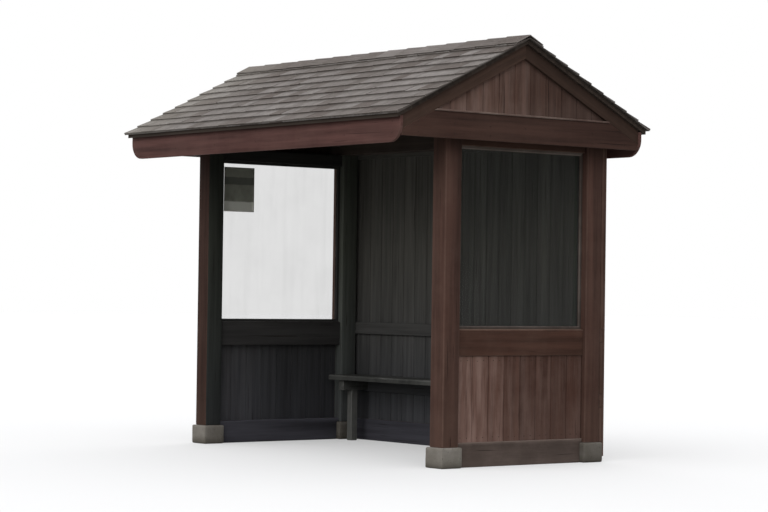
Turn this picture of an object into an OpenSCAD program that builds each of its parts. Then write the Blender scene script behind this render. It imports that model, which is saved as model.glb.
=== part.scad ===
// A timber waiting shelter: four posts on pads, open front, boarded back,
// half-boarded ends with a window over a rail, and a shingled gable roof.
// Millimetres, +Z up. The origin is on the ground under the ridge, at mid-length.
// X runs along the shelter, and the open front faces -Y.

/* [Frame] */
// Length over the end posts
frame_length = 3000; // [2400:50:4200]
// Depth over the front and back posts
frame_depth = 1440; // [1200:10:1800]
// Width of each square post
post_w = 140; // [100:5:180]
// Chamfer on the edges of the posts
post_chamfer = 8; // [2:1:15]
// Height of the pads that the posts stand on
pad_h = 140; // [80:5:200]
// How far a pad stands out round its post
pad_margin = 20; // [10:1:40]
// Chamfer on the upright edges of the pads
pad_chamfer = 12; // [4:1:25]
// Depth of the plates along the tops of the posts
plate_d = 120; // [90:5:150]

/* [End walls] */
// Thickness of the rails between the posts
rail_t = 90; // [60:5:110]
// Height of the top of the middle rail
mid_rail_top = 942; // [800:1:1100]
// Depth of the middle rail
mid_rail_d = 185; // [120:5:220]
// Fall of the sill towards the outside
sill_fall = 8; // [4:1:15]
// Height of the top of the kicker
kicker_top = 169; // [160:1:220]
// Height of the window head
window_head = 2190; // [1900:10:2200]
// Depth of the top rail
top_rail_d = 90; // [70:5:110]
// Setback of the lower boards from the outside of the rails
panel_setback = 12; // [5:1:30]
// Thickness of the window panes
pane_t = 6; // [4:1:12]
// Width of the beads that hold a pane
bead_w = 15; // [10:1:20]
// Depth of the beads along the edge of a pane
bead_d = 20; // [12:1:30]

/* [Boarding] */
// Width that each wall board covers
board_w = 145; // [90:5:200]
// Thickness of the wall boards
board_t = 22; // [16:1:28]
// Depth of the V joint between boards
joint_d = 5; // [2:1:7]
// Half width of the V joint at the face
joint_w = 4; // [2:1:6]
// Thickness of the rails behind the back boards
back_rail_t = 28; // [20:1:45]
// Depth of the rails behind the back boards
back_rail_d = 95; // [70:5:120]
// Height of the lower ends of the back boards
back_board_low = 40; // [20:5:80]
// Width of the stiles that close the ends of the back wall
back_stile_w = 70; // [40:5:120]

/* [Bench] */
// Height of the top of the seat
seat_top = 520; // [420:10:560]
// Thickness of the seat boards
seat_t = 38; // [28:1:45]
// Width of one seat board
seat_board_w = 145; // [100:5:180]
// Number of seat boards
seat_boards = 2; // [2:1:3]
// Gap between the seat boards
seat_gap = 5; // [3:1:10]
// Gap between the seat and the posts or boards beside it
seat_clear = 3; // [2:1:10]
// Radius of the rounded front edge of the seat
seat_nose = 12; // [4:1:18]
// Width of the bench legs and bearers
leg_w = 60; // [45:5:80]
// Depth of the bench bearers
bearer_d = 80; // [60:5:100]
// Distance from the end posts to the middle of the end legs
leg_inset = 139; // [100:1:300]
// Setback of the legs from the front edge of the seat
leg_setback = 110; // [60:5:140]
// Setback of the bearers from the front edge of the seat
bearer_setback = 25; // [10:5:50]

/* [Roof] */
// Slope of the roof, in degrees
pitch = 26.5; // [20:0.5:35]
// Overhang of the fascia beyond the front posts
front_overhang = 520; // [350:10:700]
// Overhang of the fascia beyond the back posts
back_overhang = 240; // [220:10:400]
// Overhang of the fascia beyond the end posts
end_overhang = 150; // [130:5:250]
// Height of the underside of the fascias
fascia_low = 2175; // [2000:5:2400]
// Depth of the fascias
fascia_d = 175; // [140:5:200]
// Thickness of the fascias and of the trim on the gables
trim_t = 25; // [18:1:32]
// Radius of the rounded lower corners of the fascias
fascia_corner = 120; // [40:5:135]
// Setback of the gable trim from the ends of the fascias
gable_setback = 12; // [5:1:25]
// Height of the underside of the gable base board over that of the fascias
gable_rise = 44; // [10:1:90]
// Depth of the gable base board
gable_base_d = 179; // [140:1:220]
// Height of the drip strip on top of the gable base board
drip_strip_h = 12; // [6:1:20]
// Distance by which the drip strip stands out from the gable base board
drip_strip_out = 8; // [3:1:12]
// Depth of the rails behind the foot of each gable
gable_sill_d = 58; // [40:1:80]
// Depth by which the gable base board covers the foot of the gable boards
gable_lap = 6; // [2:1:20]
// Depth of the barge boards, square to the slope
barge_d = 90; // [60:5:110]
// Number of rafters on each slope
rafter_count = 7; // [5:1:9]
// Thickness of each rafter
rafter_w = 45; // [38:1:60]
// Depth of each rafter, square to the slope
rafter_d = 95; // [80:5:120]
// Depth of the notch that seats a rafter on its plate
notch_d = 40; // [20:5:50]
// Thickness of the ridge board
ridge_t = 28; // [20:1:40]
// Depth of the ridge board
ridge_d = 150; // [120:5:200]
// Thickness of the roof boards
deck_t = 28; // [18:1:35]
// Overhang of the roof boards beyond the fascias
deck_out = 30; // [15:1:45]
// Overhang of the roof boards beyond the ends of the fascias
deck_end = 10; // [5:1:25]

/* [Shingles] */
// Number of courses on each slope
course_count = 10; // [8:1:14]
// Thickness of the covering at the butt of a course
butt_t = 20; // [14:1:28]
// Thickness of the covering just above a butt
lap_t = 9; // [5:1:12]
// Overhang of the shingles beyond the roof boards at the eaves
drip_out = 15; // [5:1:30]
// Overhang of the shingles beyond the roof boards at the ends
drip_end = 25; // [10:1:40]
// Width of each wing of the ridge cap
cap_w = 130; // [90:5:180]
// Thickness of the ridge cap
cap_t = 12; // [8:1:18]

/* [Notice panel] */
// Width of the notice panel
notice_w = 280; // [200:5:420]
// Height of the notice panel
notice_h = 346; // [250:1:450]
// Thickness of the notice panel
notice_t = 8; // [4:1:12]
// Distance from the front post to the notice panel
notice_in = 44; // [25:1:120]
// Distance from the window head down to the notice panel
notice_down = 48; // [25:1:150]

/* [Hidden] */
$fn = 48;
butt_gap = 0.5;
half_len = frame_length / 2;
roof_half = (front_overhang + frame_depth + back_overhang) / 2;
front_y = front_overhang - roof_half;
back_y = front_y + frame_depth;
inner_x = half_len - post_w;
bay_front = front_y + post_w;
bay_back = back_y - post_w;
bay = bay_back - bay_front;
rail_x = half_len - post_w / 2;
rail_out = rail_x + rail_t / 2;
fascia_end = half_len + end_overhang;
fascia_top = fascia_low + fascia_d;
rise = tan(pitch);
plumb = 1 / cos(pitch);
gable_low = fascia_low + gable_rise;
gable_foot = gable_low + gable_lap;
trim_x = fascia_end - gable_setback;
gable_x = trim_x - trim_t;
gable_in = gable_x - board_t;
frame_end = gable_in;
front_plate_top = under_rafter(-front_y) + notch_d;
back_plate_top = under_rafter(back_y) + notch_d;
front_post_top = front_plate_top - plate_d;
back_post_top = back_plate_top - plate_d;
back_rail_y = back_y + back_rail_t;
back_board_y = back_rail_y + board_t;
seat_low = seat_top - seat_t;
seat_back = back_rail_y - seat_clear;
seat_depth = seat_boards * seat_board_w + (seat_boards - 1) * seat_gap;
seat_front = seat_back - seat_depth;
seat_half = inner_x - seat_clear;
bearer_low = seat_low - bearer_d;
leg_front = seat_front + leg_setback;
leg_x = [-(inner_x - leg_inset), 0, inner_x - leg_inset];
panel_out = rail_out - panel_setback;
panel_in = panel_out - board_t;
edge_y = roof_half + deck_out + drip_out;
edge_x = fascia_end + deck_end + drip_end;
stain = [0.38, 0.22, 0.17];
dark_stain = [0.26, 0.16, 0.12];
red_stain = [0.45, 0.24, 0.20];
weathered = [0.47, 0.34, 0.28];
shingle_grey = [0.58, 0.54, 0.51];
concrete = [0.72, 0.71, 0.68];
bead_pale = [0.55, 0.47, 0.40];

// Height of the underside of the roof boards at a distance from the ridge
function under_deck(y) = fascia_top + (roof_half - y) * rise;
// Height of the underside of the rafters at a distance from the ridge
function under_rafter(y) = under_deck(y) - rafter_d * plumb;
// Point on the slope: u up the slope from the shingle edge, v square to the deck
function slope_point(u, v) = [
    edge_y - u * cos(pitch) + v * sin(pitch),
    under_deck(edge_y) + deck_t * plumb + u * sin(pitch) + v * cos(pitch)];
// Distance up the slope at which a layer of height v reaches the ridge
function ridge_u(v) = (edge_y + v * sin(pitch)) / cos(pitch);
// Points of V joints along a face, from a low to a high place
function joints(low, high, level, depth) =
    let (count = max(1, round((high - low) / board_w)), step = (high - low) / count)
    [for (i = [1:1:count - 1], k = [-1:1:1])
        [low + i * step + k * joint_w, k == 0 ? level + depth : level]];

// Puts a right-hand piece on the side s: 1 is right, -1 is left
module side(s) {
    if (s > 0) children();
    else mirror([1, 0, 0]) children();
}

// Puts a back piece on the slope s: 1 is back, -1 is front
module slope(s) {
    if (s > 0) children();
    else mirror([0, 1, 0]) children();
}

// A box between two corners
module block(low, high) {
    translate(low) cube(high - low);
}

// A square upright with chamfered edges, standing at a centre
module upright(x, y, w, low, high, chamfer) {
    h = w / 2;
    c = h - chamfer;
    translate([x, y, low])
        linear_extrude(high - low)
            polygon([[-c, -h], [c, -h], [h, -c], [h, c], [c, h], [-c, h], [-h, c], [-h, -c]]);
}

// A profile drawn as [y, z] points, extruded along X between two places
module along_x(low, high, points) {
    translate([low, 0, 0])
        rotate([90, 0, 90])
            linear_extrude(high - low) polygon(points);
}

// Boards standing side by side along X, with V joints on both faces
module boards_x(low, high, front, back, z_low, z_high) {
    outer = joints(low, high, front, joint_d);
    inner = joints(low, high, back, -joint_d);
    translate([0, 0, z_low])
        linear_extrude(z_high - z_low)
            polygon(concat([[low, front]], outer, [[high, front], [high, back]],
                [for (i = [len(inner) - 1:-1:0]) inner[i]], [[low, back]]));
}

// The same boards along Y, between two planes of X
module boards_y(low, high, inside, outside, z_low, z_high) {
    rotate([0, 0, 90])
        boards_x(low, high, -outside, -inside, z_low, z_high);
}

module post(s, y, top) {
    color(stain) upright(s * rail_x, y, post_w, pad_h, top, post_chamfer);
}

module pad(s, y) {
    color(concrete) upright(s * rail_x, y, post_w + 2 * pad_margin, 0, pad_h, pad_chamfer);
}

module plate(low_y, top) {
    color(dark_stain)
        block([-frame_end, low_y, top - plate_d], [frame_end, low_y + post_w, top]);
}

module top_rail() {
    color(stain)
        block([rail_x - rail_t / 2, bay_front, window_head],
            [rail_out, bay_back, window_head + top_rail_d]);
}

// The middle rail is the window sill, and falls outside the bead
module mid_rail() {
    low = mid_rail_top - mid_rail_d;
    color(stain)
        translate([0, bay_back, 0])
            rotate([90, 0, 0])
                linear_extrude(bay)
                    polygon([[rail_x - rail_t / 2, low], [rail_out, low],
                        [rail_out, mid_rail_top - sill_fall],
                        [rail_x + pane_t / 2 + bead_w, mid_rail_top],
                        [rail_x - rail_t / 2, mid_rail_top]]);
}

// The kicker reaches the ground and is cut round the pads
module kicker() {
    color(weathered)
        along_x(rail_x - rail_t / 2, rail_out, [
            [bay_front + pad_margin, 0], [bay_back - pad_margin, 0],
            [bay_back - pad_margin, pad_h], [bay_back, pad_h], [bay_back, kicker_top],
            [bay_front, kicker_top], [bay_front, pad_h], [bay_front + pad_margin, pad_h]]);
}

module back_kicker() {
    x = half_len - post_w - pad_margin;
    color(weathered) block([-x, back_y, 0], [x, back_rail_y, kicker_top]);
}

module panel() {
    color(weathered)
        boards_y(bay_front, bay_back, panel_in, panel_out, kicker_top, mid_rail_top - mid_rail_d);
}

module pane() {
    color([0.75, 0.85, 0.83, 0.35])
        block([rail_x - pane_t / 2, bay_front, mid_rail_top],
            [rail_x + pane_t / 2, bay_back, window_head]);
}

// Four beads on each face of a pane: the upright ones stand between the others
module beads() {
    color(bead_pale)
        for (x = [rail_x - pane_t / 2 - bead_w, rail_x + pane_t / 2]) {
            for (z = [mid_rail_top, window_head - bead_d])
                block([x, bay_front, z], [x + bead_w, bay_back, z + bead_d]);
            for (y = [bay_front, bay_back - bead_d])
                block([x, y, mid_rail_top + bead_d + butt_gap],
                    [x + bead_w, y + bead_d, window_head - bead_d - butt_gap]);
        }
}

module notice_panel() {
    x = -(rail_x - pane_t / 2);
    y = bay_front + notice_in;
    z = window_head - notice_down - notice_h;
    color([0.45, 0.48, 0.42])
        block([x, y, z], [x + notice_t, y + notice_w, z + notice_h]);
}

// Rails across the outside of the back posts: under the seat, at sill height and at the top,
// with stiles between them that close the ends of the wall
module back_rails() {
    top = under_rafter(back_rail_y) - 2;
    tops = [kicker_top, seat_low, mid_rail_top, top];
    color(dark_stain)
        for (k = [1:1:3]) {
            block([-half_len, back_y, tops[k] - back_rail_d], [half_len, back_rail_y, tops[k]]);
            for (s = [1, -1])
                side(s)
                    block([half_len - back_stile_w, back_y, tops[k - 1] + butt_gap],
                        [half_len, back_rail_y, tops[k] - back_rail_d - butt_gap]);
        }
}

module back_boards() {
    top = under_rafter(back_board_y) - 2;
    color(dark_stain)
        boards_x(-half_len, half_len, back_rail_y, back_board_y, back_board_low, top);
}

// Seat boards with a rounded front edge
module bench_seat() {
    color(stain) {
        for (i = [1:1:seat_boards - 1]) {
            y = seat_front + i * (seat_board_w + seat_gap);
            block([-seat_half, y, seat_low], [seat_half, y + seat_board_w, seat_top]);
        }
        difference() {
            block([-seat_half, seat_front, seat_low], [seat_half, seat_front + seat_board_w, seat_top]);
            translate([0, seat_front + seat_nose, seat_top - seat_nose])
                rotate([0, 90, 0])
                    difference() {
                        translate([-seat_nose - 1, -seat_nose - 1, -half_len])
                            cube([seat_nose + 1, seat_nose + 1, frame_length]);
                        cylinder(h = frame_length + 2, r = seat_nose, center = true);
                    }
        }
    }
}

module bench_bearers() {
    color(dark_stain)
        for (x = leg_x)
            block([x - leg_w / 2, seat_front + bearer_setback, bearer_low],
                [x + leg_w / 2, back_y, seat_low]);
}

module bench_legs() {
    color(weathered)
        for (x = leg_x)
            block([x - leg_w / 2, leg_front, 0], [x + leg_w / 2, leg_front + leg_w, bearer_low]);
}

module ridge_board() {
    color(dark_stain)
        block([-frame_end, -ridge_t / 2, under_deck(ridge_t / 2) - ridge_d],
            [frame_end, ridge_t / 2, under_deck(ridge_t / 2)]);
}

// One slope of rafters, notched over the plate whose outer face is at plate_y
module rafters(plate_y, plate_top) {
    tail = roof_half - trim_t;
    foot = plate_y - notch_d / rise;
    head = ridge_t / 2;
    gap = (2 * frame_end - rafter_w) / (rafter_count - 1);
    color(dark_stain)
        for (i = [0:1:rafter_count - 1])
            along_x(-frame_end + i * gap, -frame_end + i * gap + rafter_w, [
                [head, under_deck(head)], [head, under_rafter(head)],
                [foot, plate_top], [plate_y, plate_top], [plate_y, under_rafter(plate_y)],
                [tail, under_rafter(tail)], [tail, under_deck(tail)]]);
}

// Rails behind the foot of each gable, between the fascias and under the back plate
module gable_sills() {
    y = roof_half - trim_t;
    color(dark_stain)
        for (s = [1, -1])
            side(s)
                block([frame_end - rafter_w, -y, back_post_top - gable_sill_d],
                    [frame_end, y, back_post_top]);
}

// Roof boards run along X, with V joints on their underside
module deck() {
    low_y = roof_half + deck_out;
    under = joints(0, low_y, 0, joint_d);
    x = fascia_end + deck_end;
    color(dark_stain)
        along_x(-x, x, concat(
            [[0, under_deck(0)]],
            [for (p = under) [p[0], under_deck(p[0]) + p[1]]],
            [[low_y, under_deck(low_y)], [low_y, under_deck(low_y) + deck_t * plumb],
                [0, under_deck(0) + deck_t * plumb]]));
}

// Courses of shingles: each has a thick butt and thins out under the next one
module shingles() {
    step = ridge_u(0) / course_count;
    color(shingle_grey)
        for (i = [0:1:course_count - 1]) {
            low = i * step + (i == 0 ? 0 : butt_gap);
            last = i == course_count - 1;
            along_x(-edge_x, edge_x, [
                slope_point(low, 0), slope_point(low, butt_t),
                slope_point(last ? ridge_u(lap_t) : low + step - butt_gap, lap_t),
                slope_point(last ? ridge_u(0) : low + step - butt_gap, 0)]);
        }
}

// The cap folds over the ridge and lies on the butts of the highest courses
module ridge_cap() {
    top = butt_t + cap_t;
    low = ridge_u(butt_t) - cap_w;
    back = [slope_point(ridge_u(top), top), slope_point(low, top), slope_point(low, butt_t),
        slope_point(ridge_u(butt_t), butt_t)];
    color(shingle_grey)
        along_x(-edge_x, edge_x, [
            back[0], back[1], back[2], back[3],
            [-back[2][0], back[2][1]], [-back[1][0], back[1][1]]]);
}

// A long board whose two lower corners are rounded
module fascia() {
    r = fascia_corner;
    color(red_stain)
        difference() {
            block([-fascia_end, roof_half - trim_t, fascia_low], [fascia_end, roof_half, fascia_top]);
            for (s = [1, -1])
                side(s)
                    translate([fascia_end - r, roof_half - trim_t - 1, fascia_low + r])
                        rotate([-90, 0, 0])
                            difference() {
                                cube([r + 1, r + 1, trim_t + 2]);
                                translate([0, 0, -1]) cylinder(h = trim_t + 4, r = r);
                            }
        }
}

// The outline under the roof boards, between the fascias and above a height
module gable_outline(low, high) {
    y = roof_half - trim_t;
    intersection() {
        polygon([[-y, low], [y, low], [y, under_deck(y)], [0, under_deck(0)], [-y, under_deck(y)]]);
        translate([-y, low]) square([2 * y, high - low]);
    }
}

// Upright boards cut to the outline of the gable
module gable() {
    y = roof_half - trim_t;
    color(weathered)
        intersection() {
            boards_y(-y, y, gable_in, gable_x, gable_foot, under_deck(0));
            translate([gable_in - 1, 0, 0])
                rotate([90, 0, 90])
                    linear_extrude(board_t + 2)
                        gable_outline(gable_foot, under_deck(0));
        }
}

// The base board fills the foot of the gable up to the barge boards, under a drip strip
module gable_base() {
    drop = barge_d * plumb;
    y = roof_half - trim_t;
    top = gable_low + gable_base_d;
    turn = roof_half - (top + drop - fascia_top) / rise;
    tip = turn - drip_strip_h / rise;
    color(red_stain) {
        along_x(gable_x, trim_x, [
            [-y, gable_low], [y, gable_low], [y, under_deck(y) - drop],
            [turn, top], [-turn, top], [-y, under_deck(y) - drop]]);
        along_x(gable_x, trim_x + drip_strip_out, [
            [-turn, top], [turn, top], [tip, top + drip_strip_h], [-tip, top + drip_strip_h]]);
    }
}

module barges() {
    drop = barge_d * plumb;
    y = roof_half - trim_t;
    color(dark_stain)
        along_x(gable_x, trim_x, [
            [0, under_deck(0)], [-y, under_deck(y)], [-y, under_deck(y) - drop],
            [0, under_deck(0) - drop], [y, under_deck(y) - drop], [y, under_deck(y)]]);
}

module front_left_post() post(-1, front_y + post_w / 2, front_post_top);
module front_right_post() post(1, front_y + post_w / 2, front_post_top);
module back_left_post() post(-1, back_y - post_w / 2, back_post_top);
module back_right_post() post(1, back_y - post_w / 2, back_post_top);
module front_left_pad() pad(-1, front_y + post_w / 2);
module front_right_pad() pad(1, front_y + post_w / 2);
module back_left_pad() pad(-1, back_y - post_w / 2);
module back_right_pad() pad(1, back_y - post_w / 2);
module front_plate() plate(front_y, front_plate_top);
module back_plate() plate(bay_back, back_plate_top);
module left_top_rail() side(-1) top_rail();
module right_top_rail() side(1) top_rail();
module left_mid_rail() side(-1) mid_rail();
module right_mid_rail() side(1) mid_rail();
module left_kicker() side(-1) kicker();
module right_kicker() side(1) kicker();
module left_panel() side(-1) panel();
module right_panel() side(1) panel();
module left_pane() side(-1) pane();
module right_pane() side(1) pane();
module left_beads() side(-1) beads();
module right_beads() side(1) beads();
module front_rafters() slope(-1) rafters(-front_y, front_plate_top);
module back_rafters() slope(1) rafters(back_y, back_plate_top);
module front_deck() slope(-1) deck();
module back_deck() slope(1) deck();
module front_shingles() slope(-1) shingles();
module back_shingles() slope(1) shingles();
module front_fascia() slope(-1) fascia();
module back_fascia() slope(1) fascia();
module left_gable() side(-1) gable();
module right_gable() side(1) gable();
module left_gable_base() side(-1) gable_base();
module right_gable_base() side(1) gable_base();
module left_barges() side(-1) barges();
module right_barges() side(1) barges();

front_left_post();
front_right_post();
back_left_post();
back_right_post();
front_left_pad();
front_right_pad();
back_left_pad();
back_right_pad();
front_plate();
back_plate();
left_top_rail();
right_top_rail();
left_mid_rail();
right_mid_rail();
left_kicker();
right_kicker();
back_kicker();
left_panel();
right_panel();
left_pane();
right_pane();
left_beads();
right_beads();
notice_panel();
back_rails();
back_boards();
bench_seat();
bench_bearers();
bench_legs();
ridge_board();
front_rafters();
back_rafters();
gable_sills();
front_deck();
back_deck();
front_shingles();
back_shingles();
ridge_cap();
front_fascia();
back_fascia();
left_gable();
right_gable();
left_gable_base();
right_gable_base();
left_barges();
right_barges();
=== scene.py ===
# %% [markdown]
# A timber bus shelter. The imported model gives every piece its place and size, and this
# lesson gives each one its real surface. Boards, shingles, beads and nails are laid one by
# one, because a stained timber building is mostly joints, edges and grain. All lengths are
# in metres. X runs along the shelter, the open front faces -Y, and Z is up.

# %% Load the frame
import math
import random

import bpy
from mathutils import Matrix, Vector, noise


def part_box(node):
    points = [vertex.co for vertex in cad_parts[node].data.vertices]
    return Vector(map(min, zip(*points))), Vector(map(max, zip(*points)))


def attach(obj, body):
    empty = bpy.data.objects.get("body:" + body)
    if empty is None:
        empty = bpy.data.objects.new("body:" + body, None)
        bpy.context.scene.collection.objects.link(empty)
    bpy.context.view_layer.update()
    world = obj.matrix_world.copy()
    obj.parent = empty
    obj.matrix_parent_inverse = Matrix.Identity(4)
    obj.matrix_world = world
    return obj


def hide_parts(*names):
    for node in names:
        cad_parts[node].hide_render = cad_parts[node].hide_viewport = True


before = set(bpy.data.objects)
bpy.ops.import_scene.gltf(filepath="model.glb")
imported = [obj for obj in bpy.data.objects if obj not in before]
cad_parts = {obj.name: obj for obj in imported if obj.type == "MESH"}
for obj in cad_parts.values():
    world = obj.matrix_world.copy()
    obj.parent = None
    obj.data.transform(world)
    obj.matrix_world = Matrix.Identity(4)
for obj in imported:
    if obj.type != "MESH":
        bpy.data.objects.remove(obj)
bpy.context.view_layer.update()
print("frame holds", len(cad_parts), "pieces")

# %% [markdown]
# An operator acts on all that is selected, so each step first selects just its own piece.
# Faces and edges are picked in code by where they lie and where they point, which gives the
# same choice on every run, and an operator then shapes what is picked.


# %% Pick pieces, faces and edges
def only(*pieces):
    """Selects these pieces and nothing else, and makes the first one active."""
    if bpy.context.object and bpy.context.object.mode != "OBJECT":
        bpy.ops.object.mode_set(mode="OBJECT")
    bpy.ops.object.select_all(action="DESELECT")
    for piece in pieces:
        piece.select_set(True)
    bpy.context.view_layer.objects.active = pieces[0]


def pick(piece, kind, parts, test):
    """Enters edit mode with those parts of the mesh picked that pass the test."""
    only(piece)
    bpy.ops.object.mode_set(mode="EDIT")
    bpy.ops.mesh.select_mode(type=kind)
    bpy.ops.mesh.select_all(action="DESELECT")
    bpy.ops.object.mode_set(mode="OBJECT")
    for part in getattr(piece.data, parts):
        part.select = test(part)
    bpy.ops.object.mode_set(mode="EDIT")


def pick_faces(piece, test):
    """Picks the faces whose centre and normal pass the test."""
    pick(piece, "FACE", "polygons", lambda face: test(face.center, face.normal))


def pick_edges(piece, test):
    """Picks the edges whose middle and direction pass the test."""

    def passes(edge):
        start, end = (piece.data.vertices[i].co for i in edge.vertices)
        return test((start + end) / 2, (end - start).normalized())

    pick(piece, "EDGE", "edges", passes)


def everything(place, direction):
    """The test that every face and edge passes."""
    return True


# %% [markdown]
# Sawn timber starts as a cube at its size and place. A bevel takes off the arris, as a plane
# does, so that each edge catches a thin line of light. Grain must run along the timber and
# differ from board to board, so every point also stores where it lies along, across and
# through its own board, shifted by chance, and how worn its edge and how light its board is.

# %% Model a timber
AXES = {"X": (0, 1, 2), "Y": (1, 0, 2), "Z": (2, 0, 1)}


def place_in_mesh(*pieces):
    """Moves the place, turn and scale of the pieces into their meshes."""
    only(*pieces)
    bpy.ops.object.transform_apply(location=True, rotation=True, scale=True)
    return pieces[0]


def block(name, low, high):
    """A box between two corners, with its place in its mesh."""
    low, high = Vector(low), Vector(high)
    bpy.ops.object.select_all(action="DESELECT")
    bpy.ops.mesh.primitive_cube_add(size=1, location=(low + high) / 2, scale=high - low)
    piece = bpy.context.object
    piece.name = piece.data.name = name
    return place_in_mesh(piece)


def bevel(piece, width, segments, test, clamp=False):
    """Bevels the edges that pass the test."""
    pick_edges(piece, test)
    bpy.ops.mesh.bevel(offset=width, segments=segments, affect="EDGES", clamp_overlap=clamp)
    bpy.ops.object.mode_set(mode="OBJECT")


def soften(piece, width, segments=1):
    """Bevels every edge of the piece."""
    bevel(piece, width, segments, everything, clamp=True)
    return piece


def mark_grain(piece, along, chance, tone=None):
    """Stores the grain place, tone and worn edges of one board on its points and faces.

    A tone is a number, or a function of a point's place. A new attribute makes the last one
    stale, so each is filled before the next is added."""
    mesh = piece.data
    shift = Vector([chance.uniform(-40, 40) for _ in range(3)])
    tone = chance.random() if tone is None else tone
    grain = mesh.attributes.new("grain", "FLOAT_VECTOR", "POINT")
    for point, item in zip(mesh.vertices, grain.data):
        item.vector = Vector([point.co[axis] for axis in AXES[along]]) + shift
    tones = mesh.attributes.new("tone", "FLOAT", "POINT")
    for point, item in zip(mesh.vertices, tones.data):
        item.value = tone(point.co) if callable(tone) else tone
    edges = mesh.attributes.new("edge", "FLOAT", "CORNER")
    for face in mesh.polygons:
        worn = float(max(abs(n) for n in face.normal) < 0.99)
        for corner in face.loop_indices:
            edges.data[corner].value = worn
    return piece


def timber(name, low, high, along, chance, arris=0.003, segments=1, tone=None):
    """A sawn timber with softened edges, grain along one axis and a tone of its own."""
    piece = soften(block(name, low, high), arris, segments)
    return mark_grain(piece, along, chance, tone)


# %% [markdown]
# Shader maths reads best as plain expressions. A small class wraps one output socket, and
# its operators add the Math nodes. A second class holds the material being made, and its one
# method adds any other node from a type, settings and inputs.


# %% Write shader maths as expressions
class Socket:
    """An output socket. Maths on it adds Math nodes to its finish."""

    def __init__(self, finish, output):
        self.finish = finish
        self.output = output

    def maths(self, operation, first, second, clamp=False):
        settings = {"operation": operation, "use_clamp": clamp}
        return self.finish.add("ShaderNodeMath", settings, {0: first, 1: second})

    def __add__(self, other):
        return self.maths("ADD", self, other)

    def __radd__(self, other):
        return self.maths("ADD", other, self)

    def __sub__(self, other):
        return self.maths("SUBTRACT", self, other)

    def __rsub__(self, other):
        return self.maths("SUBTRACT", other, self)

    def __mul__(self, other):
        return self.maths("MULTIPLY", self, other)

    def __rmul__(self, other):
        return self.maths("MULTIPLY", other, self)

    def held(self):
        """This value, held between 0 and 1."""
        return self.maths("ADD", self, 0.0, clamp=True)


class Finish:
    """A material while its nodes are added. The world's tree can be given in its place."""

    def __init__(self, name, tree=None):
        if tree is None:
            self.material = bpy.data.materials.new(name)
            self.material.use_nodes = True
            tree = self.material.node_tree
        self.tree = tree
        self.tree.nodes.clear()

    def add(self, kind, settings=None, inputs=None, output=0):
        """Adds a node of that type, sets it up and wires or fills its inputs."""
        node = self.tree.nodes.new(kind)
        for key, value in (settings or {}).items():
            setattr(node, key, value)
        for key, value in (inputs or {}).items():
            if isinstance(value, Socket):
                self.tree.links.new(value.output, node.inputs[key])
            else:
                node.inputs[key].default_value = value
        return Socket(self, node.outputs[output]) if node.outputs else None

    def noise(self, vector, scale, detail=3.0, rough=0.5):
        inputs = {"Vector": vector, "Scale": scale, "Detail": detail, "Roughness": rough}
        return self.add("ShaderNodeTexNoise", None, inputs)

    def drawn(self, vector, scale, detail, rough):
        """Noise at its own scale along each axis, which draws it out into streaks."""
        spread = self.add("ShaderNodeMapping", None, {"Vector": vector, "Scale": scale})
        return self.noise(spread, 1.0, detail, rough)

    def band(self, value, low, high):
        """0 below low, 1 above high, and a straight rise between."""
        return self.add("ShaderNodeMapRange", {"clamp": True}, {0: value, 1: low, 2: high})

    def blend(self, factor, first, second, how="MIX"):
        """A mix of two colours."""
        settings = {"data_type": "RGBA", "blend_type": how}
        return self.add("ShaderNodeMix", settings, {0: factor, 6: first, 7: second}, output=2)

    def place(self):
        """Where a point lies on the shelter, in metres."""
        return self.add("ShaderNodeTexCoord", output=3)

    def part(self, vector, axis):
        return self.add("ShaderNodeSeparateXYZ", None, {0: vector}, output="XYZ".index(axis))

    def stored(self, name, vector=False):
        """A value that the pieces store on their points."""
        return self.add("ShaderNodeAttribute", {"attribute_name": name}, output=1 if vector else 2)

    def close(self, color, rough, bump=None, strength=0.4, depth=0.002, gloss=0.1, **more):
        """Feeds the surface shader and returns the finished material."""
        inputs = {"Base Color": color, "Roughness": rough, "Specular IOR Level": gloss, **more}
        if bump is not None:
            heights = {"Height": bump, "Strength": strength, "Distance": depth}
            inputs["Normal"] = self.add("ShaderNodeBump", None, heights)
        surface = self.add("ShaderNodeBsdfPrincipled", None, inputs)
        self.add("ShaderNodeOutputMaterial", None, {"Surface": surface})
        return self.material


def rgb(red, green, blue):
    """A colour given as the eye reads it, 0 to 255, as the shader's linear values."""
    linear = [((v / 255 + 0.055) / 1.055) ** 2.4 if v > 10 else v / 3294.6 for v in (red, green, blue)]
    return (*linear, 1.0)


# %% [markdown]
# The shelter is stained softwood that has stood outdoors for years. The finish has four
# layers: broad growth bands and fine fibres along the grain, dark drying checks, stain worn
# thin in patches and on edges, and a grey, splashed foot near the ground. Each layer is a
# mask, and one function mixes them, so that posts, boards and trim differ only in colour
# and in how worn they are.

# %% Make the stained wood finish
GROUND = (0.12, 0.62)


def scaled(color, factor):
    """The same colour, lighter or darker."""
    return tuple(factor * c for c in color[:3]) + (1.0,)


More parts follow.
